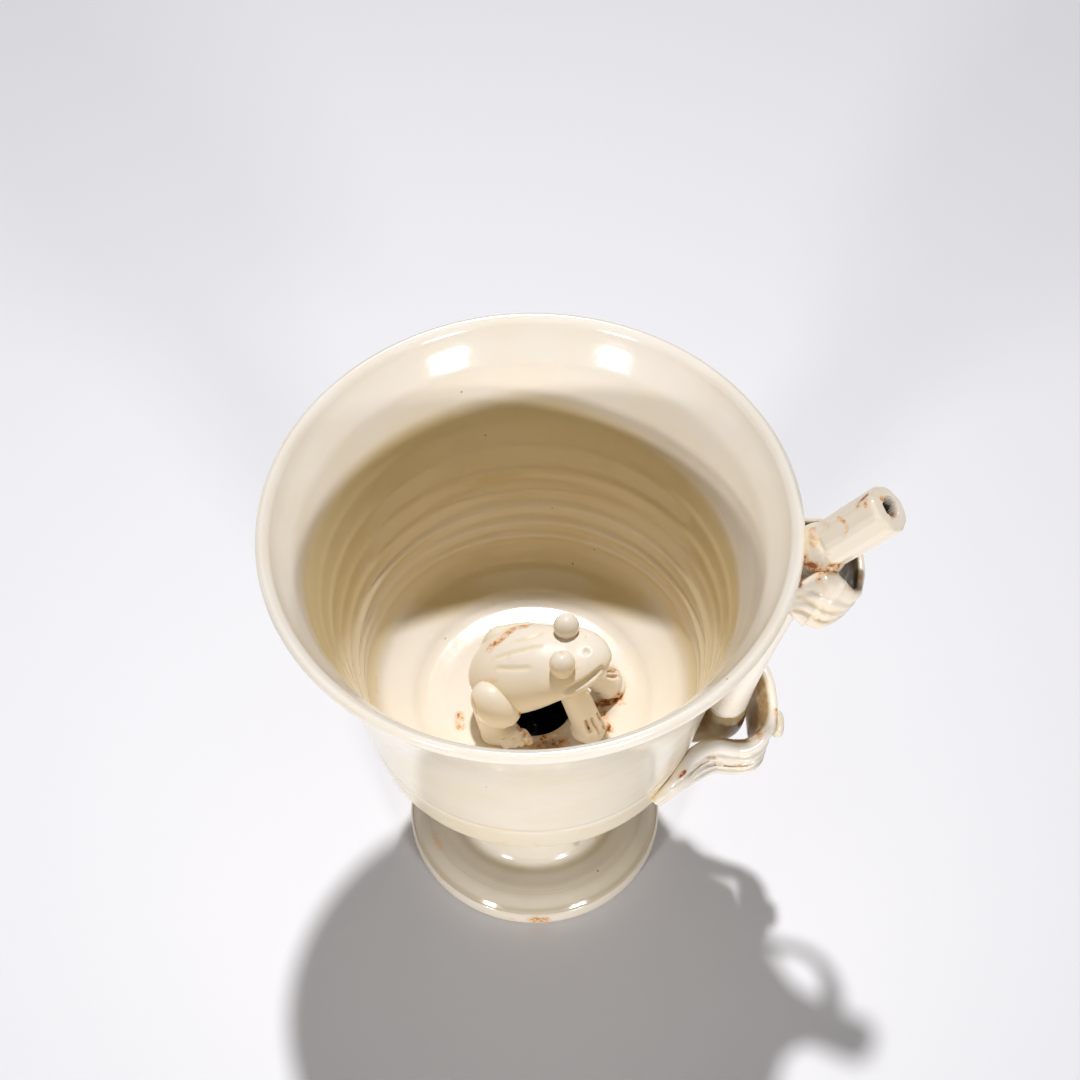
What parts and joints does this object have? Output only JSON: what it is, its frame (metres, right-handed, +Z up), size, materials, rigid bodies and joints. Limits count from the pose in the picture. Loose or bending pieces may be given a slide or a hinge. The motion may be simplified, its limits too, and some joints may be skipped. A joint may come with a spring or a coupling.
{
  "type": "porcelain sipping cup",
  "caption": "Footed bowl of white glazed porcelain with a suction tube strapped to its wall and a frog sitting astride the drinking hole in its floor",
  "frame": {"origin": "on the table, under the middle of the whole outline; the cup's own axis stands 7.8 mm from it towards -X", "axes": "+Z up along the cup's axis, +X from the bowl towards the suction tube and mouthpiece, +Y across"},
  "size_m": [0.1056, 0.09, 0.1033],
  "materials": {
    "glazed_porcelain": "glossy warm ivory glaze, pooled yellowish in grooves, with small iron-rust stains"
  },
  "bodies": {
    "root": {"bowl": "glazed_porcelain", "foot": "glazed_porcelain", "suction_tube": "glazed_porcelain", "mouthpiece": "glazed_porcelain", "lower_strap": "glazed_porcelain", "upper_strap": "glazed_porcelain", "lower_stud": "glazed_porcelain", "upper_stud": "glazed_porcelain", "frog_body": "glazed_porcelain", "frog_eye_right": "glazed_porcelain", "frog_eye_left": "glazed_porcelain", "frog_hind_leg_right": "glazed_porcelain", "frog_hind_leg_left": "glazed_porcelain", "frog_foreleg_right": "glazed_porcelain", "frog_foreleg_left": "glazed_porcelain"}
  },
  "joints": []
}
